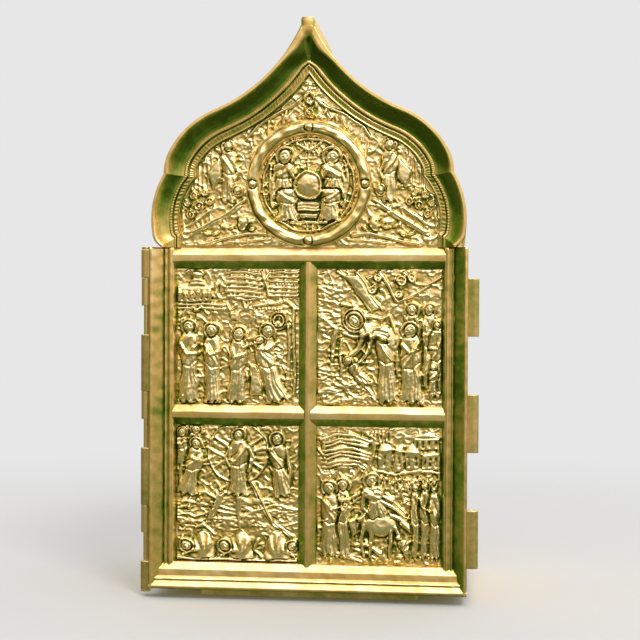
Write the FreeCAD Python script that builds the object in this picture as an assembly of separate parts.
import FreeCAD, Part

import math
import os

# Portable brass tabernacle box with one cast, figured door leaf.
# Frame: +Z up, the door faces -Y, X runs to the right as seen from the front.
# The origin is the bottom centre of the whole box. Heights inside this file are
# measured from the leaf's lower edge, and every piece is lifted by the foot plate's
# height when it is written. All sizes are millimetres.

# ---- driving dimensions: leaf ----
LEAF_HALF_W = 48.0        # half width of the rectangular part
SHOULDER_Z = 103.5        # top of the rectangular part
LEAF_TOP_Z = 172.0        # blunt tip of the ogee
DOOR_T = 6.5              # rim height over the door's back face
BACK_SHEET_T = 0.8        # sheet behind the leaf
FLOOR_LEVEL = 1.4         # relief ground over the door's back face
BAR_LEVEL = 3.6           # face of the bars over the door's back face
GROOVE_LEVEL = 2.9        # groove beside the frame's bar

# ---- ogee outline, right half: centres and radii of its arcs ----
HOLLOW_C = (46.69, 190.62)
SWELL_C = (18.26, 119.97)
SWELL_R = 26.86           # swelling flank
HOLLOW_R = math.dist(HOLLOW_C, SWELL_C) - SWELL_R  # hollow flank, tangent to the swelling one
TURN_R = 14.60            # tighter turn into the cusp
TURN_START = 28.0         # degrees on the swelling arc
LOBE_C = (20.40, 111.84)
LOBE_R = 27.05            # side lobe
LOBE_SHARE = 0.86         # the lobe's inset grows slower than the flanks' inset
TOE_R = 5.20              # toe of the lobe over the shoulder
TOE_R_MIN = 0.40
TOE_START = -10.0
NIB_HALF_W = 1.95         # blunt tip
NIB_FOOT_Z = 165.0        # the tip is solid down to here

# ---- leaf mouldings, as insets from the outline ----
RIM_W = 1.0
SLOPE_END = 4.3
GROOVE_END = 5.1
FRAME_W = 7.6             # side stile and bottom rail
BOTTOM_W = 8.0
OGEE_RIM_W = 1.1
OGEE_SLOPE_END = 5.2
OGEE_GROOVE_END = 6.0
OGEE_FRAME_W = 9.3

# ---- bars that divide the leaf ----
BAR_W = 6.4
BAR_FACE_W = 2.0
TRANSOM_Z = 97.1          # lower edge of the transom
RAIL_Z = 49.5             # lower edge of the middle rail
MULLION_W = 5.5

# ---- medallion ----
MEDALLION_Z = 122.6
RING_OUT_R = 19.0
RING_IN_R = 15.15
ORB_R = 4.0

# ---- case ----
SHEET_T = 1.2
CASE_DEPTH = 49.85
DOOR_GAP = 0.15           # between the closed door and the case
RIM_FLANGE_W = 4.0
RIM_FLANGE_T = 1.5
FOOT_HALF_W = 33.4
FOOT_H = 3.0
FOOT_SETBACK = 1.0
LINING_T = 1.0
PAD_T = 2.0
SOFT_GAP = 0.2            # soft pieces stay clear of the brass

# ---- hinge and knuckles ----
KNUCKLE_PITCH = 17.3
KNUCKLE_START_Z = -0.9
KNUCKLE_R = 1.6
CASE_KNUCKLE_R = 1.5
KNUCKLE_X = 49.72         # barrel axis from the centre line
AXIS_AHEAD = 2.0          # barrel axis in front of the door's back face
PIN_R = 0.8
PIN_CLEARANCE = 0.05
KNUCKLE_GAP = 0.12
STRAP_T = 1.0
STRAP_LEN = 10.0
LINK_OUT = 1.5

# ---- fasteners and catch ----
RIVET_R = 0.8
RIVET_LEN = 2.7
STRAP_RIVET_R = 0.6
STRAP_HEAD_R = 1.1
STRAP_HEAD_H = 0.5
STUD_R = 1.0
STUD_LEN = 2.9
SOCKET_R = 1.7
SOCKET_BORE_R = 1.2
SOCKET_LEN = 2.2
SOCKET_SLIT = 0.4
CATCH_HEIGHTS = (30.0, 78.0)

# ---- derived places ----
DEPTH = DOOR_T + DOOR_GAP + CASE_DEPTH
FRONT_Y = -DEPTH / 2
DOOR_BACK_Y = FRONT_Y + DOOR_T
PLATE_Y = DOOR_BACK_Y - BACK_SHEET_T
CASE_FRONT_Y = DOOR_BACK_Y + DOOR_GAP
CASE_BACK_Y = DEPTH / 2
AXIS_Y = DOOR_BACK_Y - AXIS_AHEAD
OPENING_X = LEAF_HALF_W - FRAME_W
BIG = 400.0


def on_circle(centre, radius, degrees):
    angle = math.radians(degrees)
    return (centre[0] + radius * math.cos(angle), centre[1] + radius * math.sin(angle))


def bearing(centre, point):
    return math.degrees(math.atan2(point[1] - centre[1], point[0] - centre[0]))


def outer_meeting(centre_a, radius_a, centre_b, radius_b):
    """Where two circles meet, on their right-hand side."""
    gap_x = centre_b[0] - centre_a[0]
    gap_z = centre_b[1] - centre_a[1]
    gap = math.hypot(gap_x, gap_z)
    along = (gap ** 2 + radius_a ** 2 - radius_b ** 2) / (2 * gap)
    across = math.sqrt(radius_a ** 2 - along ** 2)
    foot = (centre_a[0] + along * gap_x / gap, centre_a[1] + along * gap_z / gap)
    one = (foot[0] - across * gap_z / gap, foot[1] + across * gap_x / gap)
    two = (foot[0] + across * gap_z / gap, foot[1] - across * gap_x / gap)
    return max(one, two)


TURN_C = on_circle(SWELL_C, SWELL_R - TURN_R, TURN_START)
TOE_C_Z = on_circle(LOBE_C, LOBE_R - TOE_R, TOE_START)[1]
TOE_END = -math.degrees(math.asin((TOE_C_Z - SHOULDER_Z) / TOE_R))


def flank_arcs(inset):
    """Arcs (centre, radius, start, end) of the right flank, from the tip down."""
    hollow_r = HOLLOW_R + inset
    turn_r = TURN_R - inset
    lobe_r = LOBE_R - LOBE_SHARE * inset
    toe_r = max(TOE_R - LOBE_SHARE * inset, TOE_R_MIN)
    toe_c = on_circle(LOBE_C, lobe_r - toe_r, TOE_START)
    start_x = NIB_HALF_W if inset == 0 else 0.0
    hollow_start = -math.degrees(math.acos((start_x - HOLLOW_C[0]) / hollow_r))
    hollow_end = bearing(HOLLOW_C, SWELL_C)
    cusp = outer_meeting(TURN_C, turn_r, LOBE_C, lobe_r)
    return [
        (HOLLOW_C, hollow_r, hollow_start, hollow_end),
        (SWELL_C, SWELL_R - inset, hollow_end + 180, TURN_START),
        (TURN_C, turn_r, TURN_START, bearing(TURN_C, cusp)),
        (LOBE_C, lobe_r, bearing(LOBE_C, cusp), TOE_START),
        (toe_c, toe_r, TOE_START, TOE_END),
    ]


def line(start, end):
    return Part.makeLine(start, end)


def ogee_wire(inset, base, y):
    """Closed ogee outline at depth y, with a straight foot at height base."""
    edges = []
    arcs = flank_arcs(inset)
    toe = on_circle(arcs[-1][0], arcs[-1][1], arcs[-1][3])
    head = on_circle(arcs[0][0], arcs[0][1], arcs[0][2])
    for side in (1, -1):
        for centre, radius, start, end in arcs:
            spots = [on_circle(centre, radius, a) for a in (start, (start + end) / 2, end)]
            vectors = [FreeCAD.Vector(side * x, y, z) for x, z in spots]
            edges.append(Part.Arc(*vectors).toShape())
        toe_top = FreeCAD.Vector(side * toe[0], y, toe[1])
        toe_foot = FreeCAD.Vector(side * toe[0], y, base)
        if toe[1] - base > 0.01:
            edges.append(line(toe_top, toe_foot))
        if inset == 0:
            nib_foot = FreeCAD.Vector(side * head[0], y, head[1])
            nib_top = FreeCAD.Vector(side * head[0], y, LEAF_TOP_Z)
            edges.append(line(nib_foot, nib_top))
    if inset == 0:
        nib_left = FreeCAD.Vector(-head[0], y, LEAF_TOP_Z)
        nib_right = FreeCAD.Vector(head[0], y, LEAF_TOP_Z)
        edges.append(line(nib_left, nib_right))
    foot_left = FreeCAD.Vector(-toe[0], y, base)
    foot_right = FreeCAD.Vector(toe[0], y, base)
    edges.append(line(foot_left, foot_right))
    return Part.Wire(Part.__sortEdges__(edges))


def rect_wire(x0, x1, z0, z1, y):
    corners = [(x0, z0), (x1, z0), (x1, z1), (x0, z1), (x0, z0)]
    return Part.makePolygon([FreeCAD.Vector(x, y, z) for x, z in corners])


def extrude_y(wire, y_end):
    face = Part.Face(wire)
    y_start = wire.BoundBox.YMin
    return face.extrude(FreeCAD.Vector(0, y_end - y_start, 0))


def block(x0, x1, y0, y1, z0, z1):
    return Part.makeBox(x1 - x0, y1 - y0, z1 - z0, FreeCAD.Vector(x0, y0, z0))


def rod_y(x, z, radius, y0, y1):
    return Part.makeCylinder(radius, y1 - y0, FreeCAD.Vector(x, y0, z), FreeCAD.Vector(0, 1, 0))


def rod_x(y, z, radius, x0, x1):
    return Part.makeCylinder(radius, x1 - x0, FreeCAD.Vector(x0, y, z), FreeCAD.Vector(1, 0, 0))


def rod_z(x, y, radius, z0, z1):
    return Part.makeCylinder(radius, z1 - z0, FreeCAD.Vector(x, y, z0))


def level(height):
    """Depth of a face that stands this high over the door's back."""
    return DOOR_BACK_Y - height


def ogee_prism(inset, base, y0, y1):
    return extrude_y(ogee_wire(inset, base, y0), y1)


def outline_block(inset, y0, y1):
    """The whole leaf outline (rectangle and ogee together), moved in by inset."""
    half = LEAF_HALF_W - inset
    top = SHOULDER_Z - inset
    lower = extrude_y(rect_wire(-half, half, inset, top, y0), y1)
    if inset == 0:
        upper = ogee_prism(0, SHOULDER_Z, y0, y1)
    else:
        upper = ogee_prism(inset, top - RIM_W, y0, y1)
    return lower.fuse(upper).removeSplitter()


# ---- case ----
def case_shell():
    outside = outline_block(0, CASE_FRONT_Y, CASE_BACK_Y - SHEET_T)
    inside = outline_block(SHEET_T, CASE_FRONT_Y, CASE_BACK_Y - SHEET_T)
    return outside.cut(inside)


def wall(side):
    outer = side * LEAF_HALF_W
    inner = side * (LEAF_HALF_W - SHEET_T)
    x0, x1 = sorted((outer, inner))
    return block(x0, x1, CASE_FRONT_Y, CASE_BACK_Y - SHEET_T, SHEET_T, SHOULDER_Z - SHEET_T)


def roof_half(side):
    above = block(-BIG, BIG, -BIG, BIG, SHOULDER_Z - SHEET_T, BIG)
    half = block(0, BIG, -BIG, BIG, -BIG, BIG) if side > 0 else block(-BIG, 0, -BIG, BIG, -BIG, BIG)
    return case_shell().common(above).common(half)


def base_plate():
    half = LEAF_HALF_W
    return block(-half, half, CASE_FRONT_Y, CASE_BACK_Y - SHEET_T, 0, SHEET_T)


def back_plate():
    return outline_block(0, CASE_BACK_Y - SHEET_T, CASE_BACK_Y)


def case_rim():
    """Flat flange inside the case mouth, on which the closed door rests."""
    y_end = CASE_FRONT_Y + RIM_FLANGE_T
    outside = outline_block(SHEET_T, CASE_FRONT_Y, y_end)
    mouth = outline_block(SHEET_T + RIM_FLANGE_W, CASE_FRONT_Y, y_end)
    return outside.cut(mouth)


def foot_plate():
    y0 = CASE_FRONT_Y + FOOT_SETBACK
    y1 = CASE_BACK_Y - FOOT_SETBACK
    plate = block(-FOOT_HALF_W, FOOT_HALF_W, y0, y1, -FOOT_H, 0)
    upright = [e for e in plate.Edges if abs(e.Length - FOOT_H) < 0.01]
    return plate.makeFillet(FOOT_SETBACK, upright)


def back_lining():
    y_end = CASE_BACK_Y - SHEET_T - SOFT_GAP
    sheet = outline_block(SHEET_T + SOFT_GAP, y_end - LINING_T, y_end)
    floor_strip = block(-BIG, BIG, -BIG, BIG, -BIG, SHEET_T + PAD_T + 2 * SOFT_GAP)
    return sheet.cut(floor_strip)


def floor_pad():
    half = LEAF_HALF_W - SHEET_T - 2 * SOFT_GAP
    y0 = CASE_FRONT_Y + RIM_FLANGE_T + SOFT_GAP
    y1 = CASE_BACK_Y - SHEET_T - SOFT_GAP
    z0 = SHEET_T + SOFT_GAP / 2
    return block(-half, half, y0, y1, z0, z0 + PAD_T)


# ---- hinge ----
def row_span(start, end):
    """Heights of a knuckle that fills pitches start to end of a row."""
    z0 = KNUCKLE_START_Z + start * KNUCKLE_PITCH
    z1 = KNUCKLE_START_Z + end * KNUCKLE_PITCH
    return z0, z1


def door_knuckle(side, start, end):
    """Barrel and short web on the leaf's edge: side -1 is the hinge edge."""
    z0, z1 = row_span(start, end)
    x = side * KNUCKLE_X
    x0, x1 = sorted((x, side * LEAF_HALF_W))
    web = block(x0, x1, AXIS_Y - KNUCKLE_R, AXIS_Y + KNUCKLE_R, z0, z1)
    barrel = rod_z(x, AXIS_Y, KNUCKLE_R, z0, z1)
    bore = rod_z(x, AXIS_Y, PIN_R + PIN_CLEARANCE, z0, z1)
    return barrel.fuse(web).cut(bore).removeSplitter()


def case_knuckle(start, end):
    """Barrel, web and strap that is riveted on the left wall."""
    z0, z1 = row_span(start, end)
    z0 += KNUCKLE_GAP
    z1 -= KNUCKLE_GAP
    x = -KNUCKLE_X
    barrel = rod_z(x, AXIS_Y, CASE_KNUCKLE_R, z0, z1)
    web = block(x + PIN_R, x + LINK_OUT, AXIS_Y, CASE_FRONT_Y + STRAP_T, z0, z1)
    strap_x = -LEAF_HALF_W - STRAP_T
    strap = block(strap_x, -LEAF_HALF_W, CASE_FRONT_Y, CASE_FRONT_Y + STRAP_LEN, z0, z1)
    bore = rod_z(x, AXIS_Y, PIN_R, z0, z1)
    knuckle = barrel.fuse([web, strap]).cut(bore)
    for tool in strap_rivet_shanks(start, end):
        knuckle = knuckle.cut(tool)
    return knuckle.removeSplitter()


def strap_rivet_places(start, end):
    z0, z1 = row_span(start, end)
    z = (z0 + z1) / 2
    return [(CASE_FRONT_Y + STRAP_LEN * share, z) for share in (0.36, 0.76)]


def strap_rivet_shanks(start, end):
    x0 = -LEAF_HALF_W - STRAP_T
    x1 = -LEAF_HALF_W + SHEET_T
    return [rod_x(y, z, STRAP_RIVET_R, x0, x1) for y, z in strap_rivet_places(start, end)]


def strap_rivets(start, end):
    """Rivets through strap and wall, with a low head on each side."""
    rivets = []
    outer_x = -LEAF_HALF_W - STRAP_T
    inner_x = -LEAF_HALF_W + SHEET_T
    shanks = strap_rivet_shanks(start, end)
    for shank, (y, z) in zip(shanks, strap_rivet_places(start, end)):
        outer = rod_x(y, z, STRAP_HEAD_R, outer_x - STRAP_HEAD_H, outer_x)
        inner = rod_x(y, z, STRAP_HEAD_R, inner_x, inner_x + STRAP_HEAD_H)
        rivets.append(shank.fuse([outer, inner]).removeSplitter())
    return rivets


def hinge_pin():
    z0, z1 = row_span(0, 6)
    head_h = 0.6
    shaft = rod_z(-KNUCKLE_X, AXIS_Y, PIN_R, z0 - KNUCKLE_GAP, z1 + KNUCKLE_GAP)
    foot = rod_z(-KNUCKLE_X, AXIS_Y, CASE_KNUCKLE_R, z0 - KNUCKLE_GAP - head_h, z0 - KNUCKLE_GAP)
    head = rod_z(-KNUCKLE_X, AXIS_Y, CASE_KNUCKLE_R, z1 + KNUCKLE_GAP, z1 + KNUCKLE_GAP + head_h)
    return shaft.fuse([foot, head]).removeSplitter()


# ---- leaf frames ----
def lower_frame():
    """U-shaped frame: rim, slope, groove and bar face around the four scenes."""
    half = LEAF_HALF_W
    frame = extrude_y(rect_wire(-half, half, 0, SHOULDER_Z, FRONT_Y), PLATE_Y)
    wide = rect_wire(-half + RIM_W, half - RIM_W, RIM_W, SHOULDER_Z - RIM_W, FRONT_Y)
    in_x = half - SLOPE_END
    narrow = rect_wire(-in_x, in_x, SLOPE_END, SHOULDER_Z - SLOPE_END, level(BAR_LEVEL))
    frame = frame.cut(Part.makeLoft([wide, narrow], True, True))
    bar_x = half - GROOVE_END
    groove = extrude_y(narrow, level(GROOVE_LEVEL))
    bar = block(-bar_x, bar_x, FRONT_Y, PLATE_Y, GROOVE_END, SHOULDER_Z - GROOVE_END)
    frame = frame.cut(groove.cut(bar))
    opening = block(-OPENING_X, OPENING_X, FRONT_Y, PLATE_Y, BOTTOM_W, SHOULDER_Z)
    return frame.cut(opening)


def pediment_frame():
    """Ogee frame over the shoulder: rim, slope, groove and inner band."""
    below = SHOULDER_Z - RIM_W
    frame = ogee_prism(0, SHOULDER_Z, FRONT_Y, PLATE_Y)
    wide = ogee_wire(OGEE_RIM_W, below, FRONT_Y)
    narrow = ogee_wire(OGEE_SLOPE_END, below, level(BAR_LEVEL))
    nib = block(-BIG, BIG, -BIG, BIG, NIB_FOOT_Z, BIG)
    frame = frame.cut(Part.makeLoft([wide, narrow], True, True).cut(nib))
    groove = ogee_prism(OGEE_SLOPE_END, below, level(BAR_LEVEL), level(GROOVE_LEVEL))
    band = ogee_prism(OGEE_GROOVE_END, below - RIM_W, FRONT_Y, PLATE_Y)
    frame = frame.cut(groove.cut(band))
    return frame.cut(ogee_prism(OGEE_FRAME_W, below, FRONT_Y, PLATE_Y))


def bar_section(width):
    """Half widths and levels of a bar: flat face with a slope on each side."""
    half = width / 2
    face = BAR_FACE_W / 2
    foot = BACK_SHEET_T
    return [(-half, foot), (half, foot), (half, FLOOR_LEVEL), (face, BAR_LEVEL),
            (-face, BAR_LEVEL), (-half, FLOOR_LEVEL), (-half, foot)]


def bar_across(x0, x1, z_low):
    centre = z_low + BAR_W / 2
    points = [FreeCAD.Vector(x0, level(h), centre + o) for o, h in bar_section(BAR_W)]
    return Part.Face(Part.makePolygon(points)).extrude(FreeCAD.Vector(x1 - x0, 0, 0))


def bar_upright(z0, z1):
    points = [FreeCAD.Vector(o, level(h), z0) for o, h in bar_section(MULLION_W)]
    return Part.Face(Part.makePolygon(points)).extrude(FreeCAD.Vector(0, 0, z1 - z0))


def transom():
    return bar_across(-OPENING_X, OPENING_X, TRANSOM_Z)


def mullion():
    return bar_upright(BOTTOM_W, SHOULDER_Z - BAR_W / 2).cut(transom())


def middle_rail(side):
    x0, x1 = sorted((0, side * OPENING_X))
    return bar_across(x0, x1, RAIL_Z).cut(bar_upright(BOTTOM_W, SHOULDER_Z))


# ---- figured plates ----
def robed_figure(x, foot, height, lean=0.0):
    """Standing robed figure in low relief, with a halo disc behind a plain head."""
    back = PLATE_Y
    robe_outline = [(-0.17, 0), (0.17, 0), (0.13, 0.5), (0.14, 0.76), (0.05, 0.84),
                    (-0.05, 0.84), (-0.14, 0.76), (-0.13, 0.5), (-0.17, 0)]
    points = [FreeCAD.Vector(x + height * u, level(2.8), foot + height * v) for u, v in robe_outline]
    robe = extrude_y(Part.makePolygon(points), back)
    head_z = foot + 0.9 * height
    halo = rod_y(x, head_z, 0.105 * height, level(2.2), back)
    head = rod_y(x, head_z, 0.06 * height, level(3.1), back)
    figure = robe.fuse([halo, head])
    figure.rotate(FreeCAD.Vector(x, 0, foot), FreeCAD.Vector(0, 1, 0), lean)
    return figure


def crouched_figure(x, foot, size, side):
    """Bowed figure: a rounded back and a halo on the side it faces."""
    hump = rod_y(x, foot, 0.5 * size, level(2.7), PLATE_Y)
    hump = hump.cut(block(-BIG, BIG, -BIG, BIG, -BIG, foot))
    halo = rod_y(x + side * 0.55 * size, foot + 0.35 * size, 0.3 * size, level(2.2), PLATE_Y)
    return hump.fuse(halo)


def raised_block(x0, x1, z0, z1, height):
    return block(x0, x1, level(height), PLATE_Y, z0, z1)


def figured_plate(ground, relief):
    """Ground plate with its relief, trimmed to the plate's own outline."""
    edge = ground.BoundBox
    room = block(edge.XMin, edge.XMax, level(BAR_LEVEL - 0.2), PLATE_Y, edge.ZMin, edge.ZMax)
    trimmed = [piece.common(room) for piece in relief]
    return ground.fuse(trimmed).removeSplitter()


def scene_ground(side, z0, z1):
    x0, x1 = sorted((side * MULLION_W / 2, side * OPENING_X))
    return block(x0, x1, level(FLOOR_LEVEL), PLATE_Y, z0, z1)


def scene_upper_left():
    ground = scene_ground(-1, RAIL_Z + BAR_W, TRANSOM_Z)
    relief = [robed_figure(x, 57.2, h, lean) for x, h, lean in
              ((-35.2, 25.4, 0), (-27.6, 24.0, 0), (-20.0, 22.4, 0), (-9.0, 24.4, -8))]
    relief.append(raised_block(-39.0, -26.5, 84.5, 90.0, 2.4))
    relief.append(raised_block(-35.2, -31.5, 90.0, 94.6, 2.4))
    relief.append(raised_block(-24.0, -4.5, 86.6, 94.0, 2.2))
    return figured_plate(ground, relief)


def scene_upper_right():
    ground = scene_ground(1, RAIL_Z + BAR_W, TRANSOM_Z)
    relief = [robed_figure(x, z, h, lean) for x, z, h, lean in
              ((10.5, 57.2, 27.0, 8), (21.0, 57.2, 21.5, 0), (31.0, 57.2, 24.0, 0),
               (34.8, 66.0, 20.5, 0))]
    relief.append(raised_block(4.2, 9.5, 76.0, 88.0, 2.2))
    relief.append(raised_block(4.2, 20.0, 58.0, 62.0, 2.0))
    return figured_plate(ground, relief)


def scene_lower_left():
    ground = scene_ground(-1, BOTTOM_W, RAIL_Z)
    relief = [robed_figure(x, z, h, lean) for x, z, h, lean in
              ((-20.9, 28.0, 20.5, 0), (-9.2, 29.0, 18.5, 4), (-34.0, 29.0, 17.0, -6))]
    relief.append(raised_block(-33.0, -9.0, 20.5, 25.0, 1.9))
    relief += [crouched_figure(x, 11.0, 8.2, side) for x, side in
               ((-32.0, -1), (-20.0, -1), (-8.5, 1))]
    return figured_plate(ground, relief)


def scene_lower_right():
    ground = scene_ground(1, BOTTOM_W, RAIL_Z)
    relief = [robed_figure(x, z, h, lean) for x, z, h, lean in
              ((19.5, 22.0, 15.0, 0), (6.8, 12.0, 20.5, 0), (11.0, 13.0, 21.0, 0),
               (35.2, 13.0, 19.0, 0))]
    relief.append(rod_y(21.5, 20.5, 5.4, level(2.6), PLATE_Y))
    relief.append(raised_block(16.8, 18.6, 10.0, 20.0, 2.4))
    relief.append(raised_block(25.6, 27.4, 10.0, 20.0, 2.4))
    relief.append(raised_block(24.5, 33.0, 19.5, 23.5, 2.6))
    relief.append(raised_block(5.5, 19.5, 37.5, 45.0, 2.0))
    relief.append(raised_block(22.0, 39.0, 36.0, 47.0, 2.0))
    return figured_plate(ground, relief)


def tympanum_plate():
    """Field of the ogee around the medallion."""
    ground = ogee_prism(OGEE_FRAME_W, SHOULDER_Z, level(FLOOR_LEVEL), PLATE_Y)
    relief = [robed_figure(side * 25.0, 106.5, 23.0, side * 6) for side in (-1, 1)]
    relief += [robed_figure(side * 33.2, 106.0, 13.5, side * 10) for side in (-1, 1)]
    plate = figured_plate(ground, relief)
    seat = rod_y(0, MEDALLION_Z, RING_OUT_R, -BIG, BIG)
    return plate.cut(seat)


def medallion_ring():
    ring = rod_y(0, MEDALLION_Z, RING_OUT_R, level(BAR_LEVEL), PLATE_Y)
    ring = ring.cut(rod_y(0, MEDALLION_Z, RING_IN_R, -BIG, BIG))
    rims = [e for e in ring.Edges if abs(e.BoundBox.YMin - level(BAR_LEVEL)) < 0.01]
    round_rims = [e for e in rims if e.BoundBox.ZLength > RING_IN_R]
    return ring.makeChamfer(0.8, round_rims)


def medallion_plate():
    ground = rod_y(0, MEDALLION_Z, RING_IN_R, level(FLOOR_LEVEL), PLATE_Y)
    orb = rod_y(0, MEDALLION_Z, ORB_R, level(3.0), PLATE_Y)
    footstool = raised_block(-2.6, 2.6, MEDALLION_Z - 9.0, MEDALLION_Z - 5.6, 2.4)
    figures = [robed_figure(side * 8.0, MEDALLION_Z - 11.0, 21.0, 0) for side in (-1, 1)]
    disc = rod_y(0, MEDALLION_Z, RING_IN_R, -BIG, BIG)
    trimmed = [piece.common(disc) for piece in figures + [orb, footstool]]
    return ground.fuse(trimmed).removeSplitter()


# ---- fasteners and catch ----
def frame_rivet_places():
    """Flush rivets that hold the frames on the back sheet."""
    inset = 2.6
    x = LEAF_HALF_W - inset
    low = [(side * x, z) for side in (-1, 1) for z in (12.0, 52.0, 92.0)]
    bottom = [(side * 24.0, inset) for side in (-1, 1)]
    lobe = on_circle(LOBE_C, LOBE_R - inset, 4.0)
    swell = on_circle(SWELL_C, SWELL_R - inset, 52.0)
    high = [(side * px, pz) for side in (-1, 1) for px, pz in (lobe, swell)]
    return low + bottom + high


def door_rivets():
    end = DOOR_BACK_Y - RIVET_LEN
    return [rod_y(x, z, RIVET_R, end, DOOR_BACK_Y) for x, z in frame_rivet_places()]


def base_rivets():
    y_front = CASE_FRONT_Y + 8.0
    y_back = CASE_BACK_Y - 8.0
    places = [(side * 27.0, y) for side in (-1, 1) for y in (y_front, y_back)]
    return [rod_z(x, y, RIVET_R, -FOOT_H, SHEET_T) for x, y in places]


def catch_x():
    return LEAF_HALF_W - SHEET_T - RIM_FLANGE_W / 2


def catch_studs():
    studs = []
    for z in CATCH_HEIGHTS:
        stud = rod_y(catch_x(), z, STUD_R, DOOR_BACK_Y, DOOR_BACK_Y + STUD_LEN)
        tip = [e for e in stud.Edges if e.BoundBox.YMin > DOOR_BACK_Y + STUD_LEN - 0.01]
        studs.append(stud.makeFillet(0.4, tip))
    return studs


def catch_sockets():
    """Slit spring sleeves behind the flange, which take the door's studs."""
    sockets = []
    y0 = CASE_FRONT_Y + RIM_FLANGE_T
    for z in CATCH_HEIGHTS:
        sleeve = rod_y(catch_x(), z, SOCKET_R, y0, y0 + SOCKET_LEN)
        bore = rod_y(catch_x(), z, SOCKET_BORE_R, y0, y0 + SOCKET_LEN)
        half_slit = SOCKET_SLIT / 2
        slit = block(-BIG, BIG, y0 + half_slit, BIG, z - half_slit, z + half_slit)
        sockets.append(sleeve.cut(bore).cut(slit))
    return sockets


def flange_with_holes():
    rim = case_rim()
    for z in CATCH_HEIGHTS:
        rim = rim.cut(rod_y(catch_x(), z, SOCKET_BORE_R, -BIG, BIG))
    return rim


def cut_all(shape, tools):
    for tool in tools:
        shape = shape.cut(tool)
    return shape


# ---- the set of pieces ----
HINGE_ROW = {"hinge_knuckle_bottom": (0, 0.5), "hinge_knuckle_lower": (1.5, 2.5),
             "hinge_knuckle_upper": (3.5, 4.5), "hinge_knuckle_top": (5.5, 6)}
FREE_ROW = {"edge_knuckle_lower": (0.5, 1.5), "edge_knuckle_middle": (2.5, 3.5),
            "edge_knuckle_upper": (4.5, 5.5)}
CASE_ROW = {"case_knuckle_lower": (1.0, 1.5), "case_knuckle_middle": (3.0, 3.5),
            "case_knuckle_upper": (5.0, 5.5)}


def build_case():
    strap_shanks = [s for span in CASE_ROW.values() for s in strap_rivet_shanks(*span)]
    pieces = {
        "back_plate": back_plate(),
        "left_wall": cut_all(wall(-1), strap_shanks),
        "right_wall": wall(1),
        "roof_left": roof_half(-1),
        "roof_right": roof_half(1),
        "base_plate": cut_all(base_plate(), base_rivets()),
        "foot_plate": cut_all(foot_plate(), base_rivets()),
        "case_rim": flange_with_holes(),
        "back_lining": back_lining(),
        "floor_pad": floor_pad(),
        "hinge_pin": hinge_pin(),
        "strap_rivets": [r for span in CASE_ROW.values() for r in strap_rivets(*span)],
        "base_rivets": base_rivets(),
        "catch_sockets": catch_sockets(),
    }
    for name, span in CASE_ROW.items():
        pieces[name] = case_knuckle(*span)
    return pieces


def build_door():
    rivets = door_rivets()
    pieces = {
        "door_back_sheet": cut_all(outline_block(0, PLATE_Y, DOOR_BACK_Y), rivets),
        "lower_frame": cut_all(lower_frame(), rivets),
        "pediment_frame": cut_all(pediment_frame(), rivets),
        "transom": transom(),
        "mullion": mullion(),
        "middle_rail_left": middle_rail(-1),
        "middle_rail_right": middle_rail(1),
        "tympanum_plate": tympanum_plate(),
        "medallion_ring": medallion_ring(),
        "medallion_plate": medallion_plate(),
        "scene_upper_left": scene_upper_left(),
        "scene_upper_right": scene_upper_right(),
        "scene_lower_left": scene_lower_left(),
        "scene_lower_right": scene_lower_right(),
        "catch_studs": catch_studs(),
        "door_rivets": rivets,
    }
    for name, span in HINGE_ROW.items():
        pieces[name] = door_knuckle(-1, *span)
    for name, span in FREE_ROW.items():
        pieces[name] = door_knuckle(1, *span)
    return pieces


def write(name, piece):
    solids = piece if isinstance(piece, list) else piece.Solids
    shape = solids[0] if len(solids) == 1 else Part.makeCompound(solids)
    shape.translate(FreeCAD.Vector(0, 0, FOOT_H))
    shape.exportStep(os.path.join("parts", name + ".step"))
    box = shape.optimalBoundingBox()
    print("%-22s solids %2d  volume %9.2f  x %.2f..%.2f  y %.2f..%.2f  z %.2f..%.2f" % (
        name, len(solids), shape.Volume, box.XMin, box.XMax, box.YMin, box.YMax, box.ZMin, box.ZMax))


os.makedirs("parts", exist_ok=True)
for node_name, node_piece in list(build_case().items()) + list(build_door().items()):
    write(node_name, node_piece)
